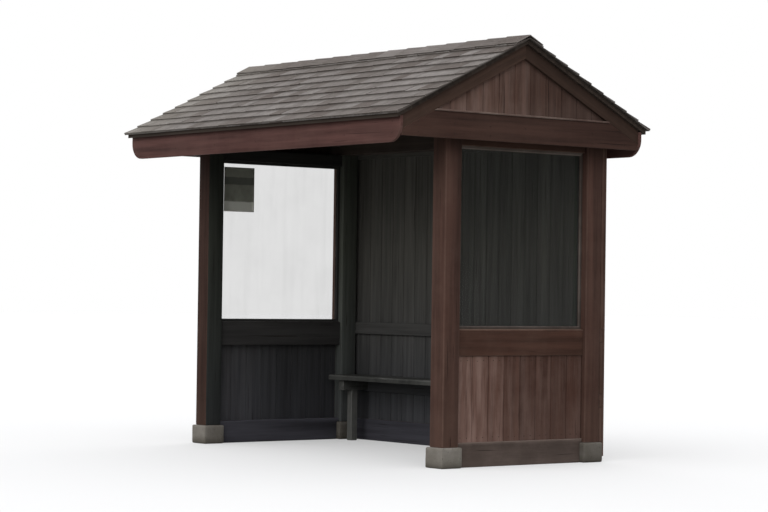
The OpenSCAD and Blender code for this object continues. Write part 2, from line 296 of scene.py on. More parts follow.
def wood(
    name, stain, bare, wear=0.4, splash=0.5, spread=0.35, arris=0.25, inner=None, streak=0.0, foot=GROUND
):
    """Stained timber, with the stain worn off the bare wood in places.

    Wear, splash and streak say how much it is worn in patches, in the splashes between the
    two heights of the foot, and in the runs of rain. Spread is how far boards differ in
    tone. An arris above 0 is paler than the faces, and one below 0 is darker. Inner gives
    the painted indoor shade, low down and high up: the darker colour of faces inside."""
    f = Finish(name)
    place = f.place()
    grain = f.stored("grain", vector=True)
    tone = f.stored("tone")
    edge = f.stored("edge")

    bands = f.drawn(grain, (1.1, 26, 26), 5, 0.62)
    fibres = f.drawn(grain, (7, 260, 260), 2, 0.7)
    checks = f.band(f.drawn(grain, (1.6, 75, 75), 2, 0.5), 0.69, 0.73)
    patches = f.band(f.noise(place, 2.6, 5, 0.65), 0.42, 0.70)
    height = f.part(place, "Z")
    splashed = 1 - f.band(height + 0.25 * f.noise(place, 7, 3), *foot)

    layer = f.band(bands, 0.30, 0.70)
    color = f.blend(layer, scaled(stain, 0.62), scaled(stain, 1.35))
    worn = patches * wear + splashed * splash + f.band(tone, 0.65, 1.0) * wear
    if streak:
        runs = f.band(f.drawn(place, (15, 15, 1.3), 4, 0.6), 0.44, 0.66)
        worn = worn + runs * (0.3 + 1.2 * tone) * streak
    worn = worn + edge * max(0.0, arris) * (1 + 2 * patches)
    color = f.blend((worn * (0.45 + 0.9 * fibres)).held(), color, bare)
    # Faces that look into the shelter take the painted indoor shade: darker, and bluish low down.
    if inner:
        low, high = (f.blend(layer, scaled(shade, 0.7), scaled(shade, 1.28)) for shade in inner)
        inside = f.blend(f.band(height, 0.3, 1.5), low, high)
        color = f.blend(f.stored("inside") * 0.94, color, inside)
    shade = ((1 - spread) + 2 * spread * tone) * (1 + min(0.0, arris) * edge)
    grey = f.add("ShaderNodeCombineXYZ", None, {0: shade, 1: shade, 2: shade})
    color = f.blend(1.0, color, grey, "MULTIPLY")
    color = f.blend(checks * 0.75, color, scaled(stain, 0.2))
    bump = 0.5 * bands + 0.35 * fibres - 0.8 * checks
    return f.close(color, 0.66 + 0.25 * fibres, bump, 0.5, 0.0025)


# %% [markdown]
# A finished piece rides on the shelter's one body, and the plain pieces it stands for are
# hidden. Its rounded edges shade smoothly and its flat faces stay flat, because only small
# angles are smoothed.


# %% Hand a piece over
def hand_over(piece, material, slot, *nodes):
    """Gives the piece its material and its place in the frame."""
    piece.data.materials.clear()
    piece.data.materials.append(material)
    only(piece)
    bpy.ops.object.shade_smooth_by_angle(angle=math.radians(35))
    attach(piece, "root")
    if nodes:
        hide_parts(*nodes)


# %% [markdown]
# The posts are square and lightly chamfered. A post is cut once by its own box, so the four
# differ only in height, grain and tone. The chamfer is wide enough to show from far off. A
# cut line down each post, hidden in the thickness of the wall, parts the outdoor stain from
# the painted indoor shade, a darker colour for the faces that look into the shelter. The
# tone carries painted shade too: it falls towards a post's back edge at the top, where the
# eave shades it, and the front left post is painted darker and the back left one lighter.

# %% Cut the posts
# The indoor pair of colours is painted shade.
POST = wood("post_stain", rgb(74, 53, 46), rgb(100, 78, 69), inner=(rgb(66, 70, 70), rgb(70, 74, 67)))
POST_CHAMFER = 0.008
WALL_X = (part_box("right_panel")[0].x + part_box("right_beads")[1].x) / 2
# Start tone and fall of painted eave shade for each post; the front left is painted darker, the back
# left lighter.
POST_TONES_AND_SHADE = {
    "front_left_post": (-0.1, 0),
    "front_right_post": (0.5, 0.75),
    "back_left_post": (1.0, 0),
    "back_right_post": (0.4, 0.4),
}
chance = random.Random(11)


def post_tone(low, high, start, eave_shade):
    """The tone over a post: start, less painted eave shade at the top of its back edge."""
    return lambda co: start - eave_shade * (co.y - low.y) / (high.y - low.y) * co.z / high.z


def cut_line(piece, x, test):
    """Draws a line at this x over the faces that pass the test."""
    pick_faces(piece, test)
    bpy.ops.mesh.bisect(plane_co=(x, 0, 0), plane_no=(1, 0, 0))
    bpy.ops.object.mode_set(mode="OBJECT")


def mark_inside(piece, test):
    """Stores which faces look into the shelter and take the painted indoor shade: their centre and
    normal pass the test.
    """
    inside = piece.data.attributes.new("inside", "FLOAT", "CORNER")
    for face in piece.data.polygons:
        for corner in face.loop_indices:
            inside.data[corner].value = float(test(face.center, face.normal))
    return piece


for node, tones in POST_TONES_AND_SHADE.items():
    low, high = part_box(node)
    tone = post_tone(low, high, *tones)
    post = timber(node + "_timber", low, high, "Z", chance, POST_CHAMFER, 2, tone)
    side, end = (1 if low.x > 0 else -1), (1 if low.y > 0 else -1)
    cut_line(post, side * WALL_X, lambda c, n: abs(n.y) > 0.9)
    mark_inside(post, lambda c, n: n.x * side < -0.5 or (n.y * end < -0.5 and c.x * side < WALL_X))
    hand_over(post, POST, "frame_stain", node)
print("posts cut")

# %% [markdown]
# Rails run from post to post. The middle rail is also the window sill, so its top falls
# outside the window to shed water: a cut line is drawn along the top beside the beads, and
# the edge outside it is picked and moved down before the arrises are taken off. Like the
# posts, rails are parted inside the wall into outdoor stain and painted indoor shade.

# %% Shape a sill
# The indoor colours are painted shade.
RAIL_INDOOR_SHADE = (rgb(56, 56, 57), rgb(55, 55, 53))
RAIL = wood("rail_stain", rgb(66, 45, 37), rgb(104, 84, 74), wear=0.25, arris=0.6, inner=RAIL_INDOOR_SHADE)
RAIL_ARRIS = 0.004
SILL_FALL = 0.005


def outer_x(node, sign):
    """The x of a node's outer face at the left end, -1, or at the right end, 1."""
    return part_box(node)[1 if sign > 0 else 0].x


def parted(piece, sign):
    """Marks the part of a rail that lies on the indoor side of its wall."""
    cut_line(piece, sign * WALL_X, lambda c, n: abs(n.x) < 0.9)
    return mark_inside(piece, lambda c, n: c.x * sign < WALL_X)


def shift_picked(x, y, z):
    """Moves what is picked and leaves edit mode."""
    bpy.ops.transform.translate(value=(x, y, z))
    bpy.ops.object.mode_set(mode="OBJECT")


def sill_timber(side, sign):
    """A middle rail with its fall outside the window."""
    node = f"{side}_mid_rail"
    low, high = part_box(node)
    sill = block(node + "_timber", low, high)
    outer = outer_x(node, sign)

    def outer_top(m, line):
        return abs(line.y) > 0.9 and m.z > high.z - 0.01 and abs(m.x - outer) < 0.01

    cut_line(sill, outer_x(f"{side}_beads", sign), lambda c, n: n.z > 0.9)
    pick_edges(sill, outer_top)
    shift_picked(0, 0, -SILL_FALL)
    mark_grain(soften(sill, RAIL_ARRIS), "Y", chance, 0.45)
    return parted(sill, sign)


# %% [markdown]
# A kicker closes the foot of an end wall and is cut round the pads. It starts as the low
# part between them, its top is extruded up, and the two ends of the new part are extruded
# out over the pads. Rain splashes it from the ground, so it is paler and greyer below.

# %% Cut the rails and kickers
# The kicker's indoor colour is painted shade.
KICKER_INDOOR_SHADE = rgb(68, 68, 75)
KICKER = wood(
    "kicker_stain", rgb(61, 51, 46), rgb(98, 86, 80), wear=0.6, splash=0.7, inner=[KICKER_INDOOR_SHADE] * 2
)
PAD_MARGIN = 0.020
ENDS = (("left", -1), ("right", 1))


def kicker_timber(side, sign):
    """A kicker that steps over the pads at its two ends."""
    low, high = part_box(f"{side}_kicker")
    pad_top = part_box(f"front_{side}_pad")[1].z
    near = (low.x, low.y + PAD_MARGIN, low.z)
    kicker = block(f"{side}_kicker_timber", near, (high.x, high.y - PAD_MARGIN, pad_top))
    pick_faces(kicker, lambda c, n: n.z > 0.9)
    bpy.ops.mesh.extrude_region_move(TRANSFORM_OT_translate={"value": (0, 0, high.z - pad_top)})
    for way in (-1, 1):
        pick_faces(kicker, lambda c, n: n.y * way > 0.9 and c.z > pad_top)
        bpy.ops.mesh.extrude_region_move(TRANSFORM_OT_translate={"value": (0, way * PAD_MARGIN, 0)})
    soften(kicker, 0.003)
    mark_grain(kicker, "Y", chance, lambda co: 0.9 if co.z > pad_top + 0.005 else 0.5)
    return parted(kicker, sign)


for side, sign in ENDS:
    node = f"{side}_top_rail"
    top = timber(node + "_timber", *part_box(node), "Y", chance, RAIL_ARRIS)
    hand_over(parted(top, sign), RAIL, "frame_stain", node)
    hand_over(sill_timber(side, sign), RAIL, "frame_stain", f"{side}_mid_rail")
    hand_over(kicker_timber(side, sign), KICKER, "kicker_stain", f"{side}_kicker")

kicker = timber("back_kicker_timber", *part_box("back_kicker"), "X", chance)
hand_over(mark_inside(kicker, lambda c, n: n.y < -0.5), KICKER, "kicker_stain", "back_kicker")
print("rails and kickers cut")

# %% [markdown]
# Upright boarding is tongued and grooved: the boards close up, and a small V shows at each
# joint. One board is modelled, with its long edges bevelled to half the V, and copied along
# the wall. Each copy is cut to the wall's height, set in or out by a hair, sawn where the
# wall slopes, and given its own grain and tone, because no two boards weather alike.

# %% Lay a wall of boards
WALL_BOARD = 0.145
JOINT = 0.005
PROUD = 0.0006
SHORT = 0.0015


def copy_of(piece, name):
    """A copy with a mesh of its own."""
    made = piece.copy()
    made.data = piece.data.copy()
    made.name = name
    bpy.context.scene.collection.objects.link(made)
    return made


def joined(name, parts):
    """Joins the parts into one piece of that name."""
    only(*parts)
    if len(parts) > 1:
        bpy.ops.object.join()
    parts[0].name = parts[0].data.name = name
    return parts[0]


def saw(piece, point, normal):
    """Cuts the piece by a plane, clears the side that the normal points to and fills the cut."""
    pick_faces(piece, everything)
    bpy.ops.mesh.bisect(plane_co=point, plane_no=normal, clear_outer=True, use_fill=True)
    bpy.ops.object.mode_set(mode="OBJECT")
    return piece


def board_wall(name, low, high, across, chance, tones, vary, cuts=()):
    """Upright boards side by side along one axis. A tone varies round tones(share of the way)."""
    axis = "XYZ".index(across)
    through = 1 - axis
    count = round((high[axis] - low[axis]) / WALL_BOARD)
    step = (high[axis] - low[axis]) / count
    first_high = high.copy()
    first_high[axis] = low[axis] + step
    first = block(name, low, first_high)
    bevel(first, JOINT, 1, lambda m, line: abs(line.z) > 0.9)
    boards = []
    for i in range(count):
        board = copy_of(first, f"{name}_{i}")
        proud = chance.uniform(-PROUD, PROUD)
        trim = [chance.uniform(0, SHORT) for _ in range(2)]
        for point in board.data.vertices:
            point.co[axis] += i * step
            point.co[through] += proud
            point.co.z += trim[0] if point.co.z < (low.z + high.z) / 2 else -trim[1]
        for point, normal in cuts:
            saw(board, point, normal)
        tone = tones(i / (count - 1)) + chance.uniform(-vary, vary)
        boards.append(mark_grain(board, "Z", chance, min(1, max(0, tone))))
    bpy.data.objects.remove(first)
    return joined(name, boards)


# %% [markdown]
# The lower end walls and the back wall are boarded in this way. At the ends the boards
# nearest the open front have weathered palest, so each has a tone of its own. The back wall
# is one wide run that also covers the corners, so two cut lines part its indoor face from
# what shows beside the posts.

# %% Board the walls
# Indoor colours are painted shade: faces inside are darker, and bluish low down.
INDOOR_SHADE = (rgb(61, 63, 67), rgb(60, 60, 57))
BACK_INDOOR_SHADE = (rgb(60, 62, 65), rgb(85, 84, 79))
BOARDS = wood(
    "board_stain", rgb(75, 52, 44), rgb(118, 96, 88), 0.35, 0.45, 0.4, -0.15, INDOOR_SHADE, streak=0.55
)
BACK_BOARDS = wood(
    "back_board_stain", rgb(70, 51, 43), rgb(106, 86, 78), arris=-0.2, inner=BACK_INDOOR_SHADE, streak=0.3
)
PANEL_TONES = (0.95, 0.84, 0.72, 0.46, 0.26, 0.38, 0.27, 0.28)


def panel_tone(k):
    return PANEL_TONES[round(k * (len(PANEL_TONES) - 1))]


# The back wall is painted darker towards its right end, as painted shade.
def back_tone_and_shade(k):
    return 0.6 - 0.25 * k


for side, sign in ENDS:
    node = f"{side}_panel"
    wall = board_wall(node + "_boards", *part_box(node), "Y", chance, panel_tone, 0.03)
    hand_over(mark_inside(wall, lambda c, n: n.x * sign < -0.5), BOARDS, "board_stain", node)

wall = board_wall("back_wall_boards", *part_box("back_boards"), "X", chance, back_tone_and_shade, 0.2)
for sign in (-1, 1):
    cut_line(wall, sign * WALL_X, lambda c, n: n.y < -0.9)
mark_inside(wall, lambda c, n: n.y < -0.5 and abs(c.x) < WALL_X)
hand_over(wall, BACK_BOARDS, "dark_stain", "back_boards")
print("walls boarded")

# %% [markdown]
# A gable is boarded like a wall, but each board is also sawn to the slope: a bisect along
# the slope clears what stands above it and fills the cut, which is just what a saw does.
# The slope is read from the plain gable, from its peak to the top of its eave end.

# %% Board and saw the gables
GABLE_FOOT = (2.52, 2.68)
GABLE = wood(
    "gable_stain", rgb(82, 61, 53), rgb(124, 104, 96), 0.3, 0.3, 0.45, -0.1, streak=0.5, foot=GABLE_FOOT
)
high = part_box("right_gable")[1]
ridge_z = high.z
eave_z = max(v.co.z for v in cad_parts["right_gable"].data.vertices if v.co.y > high.y - 0.001)
SLOPE = math.atan2(ridge_z - eave_z, high.y)
UP = {way: Vector((0, way * math.sin(SLOPE), math.cos(SLOPE))) for way in (-1, 1)}
print("roof slope", round(math.degrees(SLOPE), 2), "degrees")


# The gable boards are painted darker towards the back, as painted shade.
def gable_tone_and_shade(k):
    return 0.76 - 1.5 * k * k


for side in ("left", "right"):
    node = f"{side}_gable"
    slopes = [((0, 0, ridge_z), UP[way]) for way in (-1, 1)]
    gable = board_wall(node + "_boards", *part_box(node), "Y", chance, gable_tone_and_shade, 0.05, slopes)
    hand_over(gable, GABLE, "board_stain", node)

# %% [markdown]
# Two kinds of trim finish each gable: a deep base board under a thin drip strip, and barge
# boards that follow the slope. Base board and strip are sawn under the barges. Each barge is
# a plank laid level at the ridge, turned to the slope about it, and sawn upright at the
# ridge and at the foot. Like the gable boards, the trim is painted darker towards the back,
# as painted shade.

# %% Trim the gables
END_TRIM = wood("end_trim_stain", rgb(60, 42, 36), rgb(88, 68, 60), wear=0.25, spread=0.35)
BARGE = wood("barge_stain", rgb(56, 42, 35), rgb(84, 66, 58), wear=0.3, spread=0.35)
DRIP = wood("drip_strip_stain", rgb(86, 68, 62), rgb(132, 118, 109), wear=0.8, splash=0, spread=0.2)
STRIP_HEIGHT, STRIP_OUT = 0.012, 0.008
BASE_ARRIS, STRIP_ARRIS = 0.0025, 0.002
BARGE_DEPTH = 0.090
BARGE_DROP = BARGE_DEPTH / math.cos(SLOPE)
WASTE = 0.1


def turned_about(piece, centre, angle, axis):
    """Turns the piece about a point and keeps the turn in its mesh."""
    centre = Matrix.Translation(centre)
    piece.matrix_world = centre @ Matrix.Rotation(angle, 4, axis) @ centre.inverted()
    return place_in_mesh(piece)


for side, sign in ENDS:
    node = f"{side}_gable_base"
    low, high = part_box(node)
    step_z = high.z - STRIP_HEIGHT
    inner, outer = (low.x, high.x - STRIP_OUT) if sign > 0 else (low.x + STRIP_OUT, high.x)
    base = block(node + "_board", (inner, low.y, low.z), (outer, high.y, step_z))
    strip = block(f"{side}_drip_strip", (low.x, low.y, step_z + 0.0004), high)
    for piece, arris in ((base, BASE_ARRIS), (strip, STRIP_ARRIS)):
        for way in (-1, 1):
            saw(piece, (0, 0, ridge_z - BARGE_DROP), UP[way])
        soften(piece, arris)
    # Base board and drip strip are painted darker towards the back, as painted shade.
    mark_grain(base, "Y", chance, lambda co: max(0.26, 0.62 - 0.75 * (co.y - low.y) / (high.y - low.y)))
    mark_grain(strip, "Y", chance, lambda co: 0.75 - 0.4 * (co.y - low.y) / (high.y - low.y))
    hand_over(base, END_TRIM, "trim_stain", node)
    hand_over(strip, DRIP, "trim_stain", node)

    node = f"{side}_barges"
    low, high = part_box(node)
    barges = []
    for way in (-1, 1):
        length = high.y / math.cos(SLOPE) + 2 * WASTE
        y = sorted((-way * WASTE, way * length))
        plank = block("barge", (low.x, y[0], ridge_z - BARGE_DEPTH), (high.x, y[1], ridge_z))
        soften(plank, BASE_ARRIS)
        # The back barge is painted darker than the front one, as painted shade.
        mark_grain(plank, "Y", chance, 0.75 if way < 0 else 0.3)
        turned_about(plank, (0, 0, ridge_z), -way * SLOPE, "X")
        saw(plank, (0, 0, 0), (0, -way, 0))
        barges.append(saw(plank, (0, way * high.y, 0), (0, way, 0)))
    hand_over(joined(f"{side}_barge_boards", barges), BARGE, "dark_stain", node)
print("gables boarded and trimmed")

# %% [markdown]
# The fascias are the face of the shelter: one deep plank a side, with its two lower corners
# rounded off. Those two corner edges are picked and bevelled with a wide radius in many
# steps, and only then are all the arrises eased.

# %% Round the fascias
TRIM = wood("trim_stain", rgb(85, 59, 55), rgb(108, 82, 76), wear=0.3, spread=0.2)
SLOPES = (("front", -1), ("back", 1))
CORNER = 0.120
for side, way in SLOPES:
    node = f"{side}_fascia"
    low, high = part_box(node)
    fascia = block(node + "_board", low, high)
    bevel(fascia, CORNER, 12, lambda m, line: abs(line.y) > 0.9 and m.z < (low.z + high.z) / 2)
    bevel(fascia, 0.003, 2, lambda m, line: abs(line.y) < 0.5)
    hand_over(mark_grain(fascia, "X", chance, 0.5), TRIM, "trim_stain", node)
print("fascias rounded")

# %% [markdown]
# The roof boards and the shingles lie on a slope, so they are made flat, where a board is
# straight and easy to place, and then the whole layer is turned to the slope and moved to
# the eave. In the flat layer, X runs along the ridge, Y runs up from the shingle edge, and Z
# is the height over the boards.

# %% Lay out the roof
cover_low, cover_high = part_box("back_shingles")
BUTT = 0.020
LAP = 0.009
COURSES = 10
EDGE_Y = cover_high.y - BUTT * math.sin(SLOPE)
RIDGE_U = EDGE_Y / math.cos(SLOPE)
EXPOSURE = RIDGE_U / COURSES
print("exposure", round(EXPOSURE * 1000), "mm")


def to_slope(piece, way):
    """Lays a flat layer on the front slope, -1, or on the back slope, 1."""
    lay = Matrix.Translation((0, -EDGE_Y, cover_low.z)) @ Matrix.Rotation(SLOPE, 4, "X")
    if way > 0:
        lay = Matrix.Rotation(math.pi, 4, "Z") @ lay
    piece.matrix_world = lay
    return place_in_mesh(piece)


# %% [markdown]
# Roof boards run along the shelter and show from underneath, where their joints make a V.
# They are laid a little too far at both ends of the slope and sawn upright afterwards.

# %% Board the roof
DARK = wood("dark_stain", rgb(52, 44, 39), rgb(74, 66, 60), wear=0.2, splash=0.2, spread=0.25, arris=0.0)
DECK_WIDTH, DECK_THICKNESS = 0.142, 0.028
deck_low, deck_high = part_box("back_deck")
for name, way in SLOPES:
    boards = []
    for i in range(-1, math.ceil(RIDGE_U / DECK_WIDTH) + 1):
        u = i * DECK_WIDTH
        board = block("roof_board", (deck_low.x, u, -DECK_THICKNESS), (deck_high.x, u + DECK_WIDTH, 0))
        bevel(board, 0.004, 1, lambda m, line: abs(line.x) > 0.9 and m.z < -0.01)
        boards.append(mark_grain(board, "X", chance))
    deck = to_slope(joined(f"{name}_roof_boards", boards), way)
    saw(deck, (0, 0, 0), (0, -way, 0))
    saw(deck, (0, way * deck_high.y, 0), (0, way, 0))
    hand_over(deck, DARK, "dark_stain", f"{name}_deck")
print("roof boarded")

# %% [markdown]
# Sawn wood shingles weather to grey, each in a tone of its own, and towards the left end
# they are painted paler. The finish streaks and splits them along the grain and spots them
# with lichen. The strip just under the next butt is painted darker as the shade of that butt,
# which draws the courses as lines from afar, so every shingle also stores how far up its
# length each point lies. Their softened edges are painted paler as a painted highlight.

# %% Finish the shingles
def shingle_finish():
    f = Finish("shingle_grey")
    place = f.place()
    grain = f.stored("grain", vector=True)
    tone = f.stored("tone")
    edge = f.stored("edge")
    streaks = f.drawn(grain, (3, 60, 60), 4, 0.6)
    fibres = f.drawn(grain, (12, 320, 320), 2, 0.7)
    splits = f.band(f.drawn(grain, (2.2, 120, 120), 1, 0.5), 0.66, 0.70)
    stains = f.band(f.noise(place, 2.1, 5, 0.6), 0.45, 0.68)
    lichen = f.band(f.noise(place, 34, 4, 0.6), 0.64, 0.70)
    # Painted shade just under each butt.
    painted_butt_shade = f.band(f.stored("cover") + 0.3 * f.noise(place, 16, 4, 0.6), 0.62, 0.88)
    # Paler towards the left end.
    paler_to_the_left = 1 - f.band(f.part(place, "X"), -1.6, -0.9)
    color = f.blend(f.band(streaks, 0.3, 0.7), rgb(98, 94, 91), rgb(135, 129, 126))
    color = f.blend((tone * 1.1).held(), color, rgb(83, 75, 71))
    color = f.blend(stains * 0.4, color, rgb(81, 75, 70))
    color = f.blend(painted_butt_shade * 0.65, color, rgb(70, 65, 61))
    color = f.blend(lichen * 0.5, color, rgb(140, 138, 126))
    color = f.blend(paler_to_the_left * 0.36, color, rgb(139, 135, 127))
    # Painted highlight on the softened edges.
    color = f.blend(edge * 0.55, color, rgb(152, 147, 141))
    color = f.blend(splits * 0.8, color, rgb(48, 44, 41))
    return f.close(color, 0.8 + 0.15 * fibres, 0.5 * streaks + 0.4 * fibres - splits, 0.5, 0.003)


SHINGLE = shingle_finish()
# The backing strips are dark as painted shade in the gaps.
SHADED_BACKING = wood("under_shingles", rgb(70, 65, 61), rgb(90, 85, 80), wear=0.2, splash=0)

# %% [markdown]
# A shingle is a thin wedge. It is made as a block whose upper end is pressed down, and the
# edges of its butt are softened. A real eave starts with a doubled course, so a flatter
# wedge is made too, which lifts the first course to the slope of the others.

# %% Model one shingle
TIP = 0.030
TIP_THICKNESS = 0.0015
drop_rate = (BUTT - LAP) / EXPOSURE
reach = EXPOSURE + TIP
tip_height = BUTT - drop_rate * reach


def wedge(name, length, butt_low, butt_high, tip_low, tip_high):
    """A shingle of unit width, from u = 0, with its butt towards the eave."""
    piece = block(name, (0, 0, butt_low), (1, length, butt_high))
    half = (butt_low + butt_high) / 2

    def tip_edge(m, line, above):
        return abs(line.x) > 0.9 and m.y > length / 2 and (m.z > half) == above

    # The lower edge goes first, so that the upper one never passes it
    for above, level in ((False, tip_low - butt_low), (True, tip_high - butt_high)):
        pick_edges(piece, lambda m, line: tip_edge(m, line, above))
        shift_picked(0, 0, level)
    return piece


shingle = wedge("shingle", reach, LAP, BUTT, tip_height - TIP_THICKNESS, tip_height)
bevel(shingle, 0.0022, 1, lambda m, line: m.y < 0.001 and m.z > LAP + 0.004)
covers = shingle.data.attributes.new("cover", "FLOAT", "POINT").data
for point, cover in zip(shingle.data.vertices, covers):
    cover.value = point.co.y / reach
starter = wedge("starter", reach, 0.0005, LAP - 0.0003, 0.0005, 0.002)
print("a shingle has", len(shingle.data.polygons), "faces")

# %% [markdown]
# Shingles differ in width, and their butts don't line up exactly. Copies of the one shingle
# are stretched to chance widths and laid course by course, with the joints of one course
# away from those of the course below, as a roofer does to keep the rain out. Strips close
# each course behind, where the covered parts of real shingles lie, and their dark colour is
# painted shade, which shows in the gaps between shingles.

# %% Lay the courses
GAP = 0.0035
NARROWEST, WIDEST = 0.085, 0.225
SIDE_LAP = 0.028
REST, REST_OF_TWO = 0.26, 0.20
EAVE_RAGGED, RAGGED, SKEW = 0.002, 0.005, 0.0015
THINNER, THICKER = 0.0022, 0.0008
STRIP_INSET, STRIP_SHY = 0.004, 0.008


def course_ends(low, high, chance, taken):
    """Places of the joints in one course, kept away from the joints of the course below.

    The rest at the end takes one shingle, or two where it is wide."""
    ends = [low]
    while ends[-1] < high - REST:
        width = chance.uniform(NARROWEST, WIDEST)
        for _ in range(8):
            if all(abs(ends[-1] + width - joint) > SIDE_LAP for joint in taken):
                break
            width = chance.uniform(NARROWEST, WIDEST)
        ends.append(ends[-1] + width)
    left = high - ends[-1]
    ends += [ends[-1] + left / 2, high] if left > REST_OF_TWO else [high]
    return ends


def lay_course(model, u, low, high, chance, taken, ragged):
    """Copies the shingle along one course at a place up the slope."""
    ends = course_ends(low, high, chance, taken)
    laid = []
    for start, end in zip(ends, ends[1:]):
        piece = copy_of(model, "shingle_copy")
        slide = chance.uniform(-ragged, ragged)
        skew = chance.uniform(-SKEW, SKEW)
        thick = chance.uniform(-THINNER, THICKER)
        for point in piece.data.vertices:
            x, up, height = point.co
            butt = up < 0.01
            height += thick if butt and height > LAP + 0.004 else 0
            up += u + (slide + skew * (2 * x - 1) if butt else 0)
            point.co = (start + GAP / 2 + x * (end - start - GAP), up, height)
        laid.append(mark_grain(piece, "Y", chance, chance.random() ** 1.5))
    return laid, ends


edge_low, edge_high = cover_low.x, cover_high.x
for name, way in SLOPES:
    laid, taken = lay_course(starter, 0, edge_low, edge_high, chance, [], 0.0)
    for i in range(COURSES):
        ragged = EAVE_RAGGED if i == 0 else RAGGED
        course, taken = lay_course(shingle, i * EXPOSURE, edge_low, edge_high, chance, taken, ragged)
        laid += course
    courses = to_slope(joined(f"{name}_shingle_courses", laid), way)
    hand_over(saw(courses, (0, 0, 0), (0, -way, 0)), SHINGLE, "shingle", f"{name}_shingles")

    strips = []
    for i in range(COURSES):
        strip = wedge("strip", EXPOSURE, 0.0004, BUTT - 0.007, 0.0004, LAP - 0.001)
        for point in strip.data.vertices:
            point.co.x = edge_low + STRIP_INSET + point.co.x * (edge_high - edge_low - 2 * STRIP_INSET)
            point.co.y += i * EXPOSURE + (STRIP_SHY if point.co.y < 0.01 else 0)
        strips.append(mark_grain(strip, "X", chance, 0.4))
    strips = to_slope(joined(f"{name}_shingle_backing", strips), way)
    hand_over(saw(strips, (0, 0, 0), (0, -way, 0)), SHADED_BACKING, "shingle")
    print(name, "slope has", len(laid), "shingles")
for model in (shingle, starter):
    bpy.data.objects.remove(model)

# %% [markdown]
# The ridge is closed by short cap pieces, each made of two wings. A piece laps a little over
# the last one, so its butt shows as a small step. Wings are laid flat like the shingles,
# turned to their slope, and sawn upright where they meet. On the back slope a wing is
# mirrored first, so that both wings of a piece lap the same way.

# %% Cap the ridge
CAP = 0.012
CAP_WIDTH = 0.130
CAP_STEP = 0.225
CAP_LAP, CAP_WASTE = 0.020, 0.040
CAP_SINK = 0.005
cap_u = (EDGE_Y + BUTT * math.sin(SLOPE)) / math.cos(SLOPE) - CAP_WIDTH
count = round((edge_high - edge_low) / CAP_STEP)
step = (edge_high - edge_low) / count
mirror = Matrix.Translation((edge_low + edge_high, 0, 0)) @ Matrix.Scale(-1, 4, (1, 0, 0))
wings = []
for way in (-1, 1):
    for i in range(count):
        start = edge_low + i * step
        far = (start + step + CAP_LAP, cap_u + CAP_WIDTH + CAP_WASTE, BUTT + CAP)
        wing = block("wing", (start, cap_u, BUTT), far)
        if i == count - 1:
            wing.data.transform(Matrix.Translation((-CAP_LAP, 0, 0)))
        middle = Vector((start + step / 2, 0, BUTT + CAP / 2))
        pick_edges(wing, lambda m, line: abs(line.y) > 0.9 and m.x > middle.x and m.z > middle.z)
        shift_picked(0, 0, -CAP_SINK)
        soften(wing, 0.0018)
        wing.data.transform(Matrix.Translation((0, chance.uniform(-0.002, 0.002), 0)))
        mark_grain(wing, "X", chance, chance.uniform(0.2, 0.9))
        if way > 0:
            wing.data.transform(mirror)
            wing.data.flip_normals()
        wings.append(saw(to_slope(wing, way), (0, 0, 0), (0, -way, 0)))
hand_over(joined("ridge_cap_pieces", wings), SHINGLE, "shingle", "ridge_cap")
print("ridge capped with", count, "pieces")

# %% [markdown]
# Each post stands on a small cast pad. Concrete is a box with soft corners whose faces are
# slightly uneven, so the cube is bevelled, cut into a fine net, and each point is moved a
# little by a smooth noise, which needs a seed to be the same on every run. The foot stays
# at the ground. The finish is pitted, darker on some pads than on others, and painted darker
# near the ground as the shade where the pad meets it, with moss in that band.

# %% Cast the pads
PAD_NET = 5
PAD_SEED, PAD_LUMPS, PAD_UNEVEN = 1, 22, 0.0012
PAD_TONES = {"front_left_pad": 0.9, "front_right_pad": 1.0, "back_left_pad": 0.5, "back_right_pad": 0.5}


def concrete_finish():
    f = Finish("pad_concrete")
    place = f.place()
    cloud = f.noise(place, 9, 5, 0.6)
    grit = f.noise(place, 160, 3, 0.7)
    pits = f.band(f.noise(place, 95, 2, 0.5), 0.66, 0.72)
    # Painted shade at the foot, where the pad meets the ground.
    shaded_foot = 1 - f.band(f.part(place, "Z") + 0.02 * f.noise(place, 30, 3), 0.018, 0.07)
    moss = f.band(f.noise(place, 18, 4, 0.6), 0.58, 0.68) * shaded_foot
    color = f.blend(f.band(cloud, 0.35, 0.65), rgb(118, 113, 105), rgb(140, 135, 128))
    color = f.blend(f.band(grit, 0.35, 0.65) * 0.4, color, rgb(104, 100, 94))
    color = f.blend(pits * 0.7, color, rgb(70, 66, 61))
    color = f.blend(shaded_foot * 0.6, color, rgb(74, 69, 62))
    color = f.blend(moss * 0.5, color, rgb(70, 74, 50))
    # Some pads are darker than others.
    color = f.blend(1 - f.stored("tone"), color, rgb(62, 57, 50))
    return f.close(color, 0.9 + 0.08 * grit, 0.6 * grit + 0.5 * cloud - pits, 0.6, 0.003)


CONCRETE = concrete_finish()
noise.seed_set(PAD_SEED)
for node, tone in PAD_TONES.items():
    pad = soften(block(node + "_cast", *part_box(node)), 0.010, 2)
    pick_faces(pad, everything)
    bpy.ops.mesh.subdivide(number_cuts=PAD_NET)
    bpy.ops.object.mode_set(mode="OBJECT")
    for point in pad.data.vertices:
        if point.co.z > 0.004:
            point.co += noise.noise_vector(point.co * PAD_LUMPS) * PAD_UNEVEN
    hand_over(mark_grain(pad, "Z", chance, tone), CONCRETE, "pad_concrete", node)
print("pads cast")

# %% [markdown]
# The bench is two planks on bearers and legs. People slide over the front edge for years,
# so that edge is rounded by a wide bevel in several steps, and the other edges only eased.

